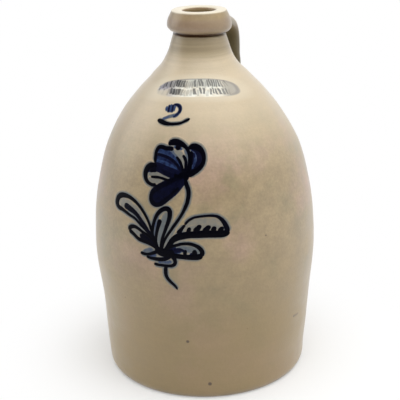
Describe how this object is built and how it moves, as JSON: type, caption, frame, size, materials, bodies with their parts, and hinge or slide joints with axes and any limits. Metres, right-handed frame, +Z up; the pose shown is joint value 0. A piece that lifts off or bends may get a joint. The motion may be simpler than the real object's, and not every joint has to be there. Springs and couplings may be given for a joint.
{
  "type": "stoneware jug",
  "caption": "Tall salt-glazed stoneware jug with a narrow collared mouth and a strap handle luted from collar to shoulder, for storing liquids.",
  "frame": {"origin": "centre of the flat foot, on the surface that the jug stands on", "axes": "+Z up along the jug's axis, -Y to the decorated front, +Y to the handle, +X to the right seen from the front"},
  "size_m": [0.216, 0.216, 0.355],
  "materials": {
    "salt_glazed_body": "grey-tan salt glaze, satin, finely pitted, warmer on the shoulder",
    "salt_glazed_collar": "grey-tan salt glaze with tooling lines, satin",
    "salt_glazed_handle": "grey-tan salt glaze, olive in its hollows, satin",
    "brown_slip": "dark brown slip glaze, glossy"
  },
  "bodies": {
    "root": {"jug_body": "salt_glazed_body", "neck_collar": "salt_glazed_collar", "strap_handle": "salt_glazed_handle", "slip_lining": "brown_slip"}
  },
  "joints": []
}
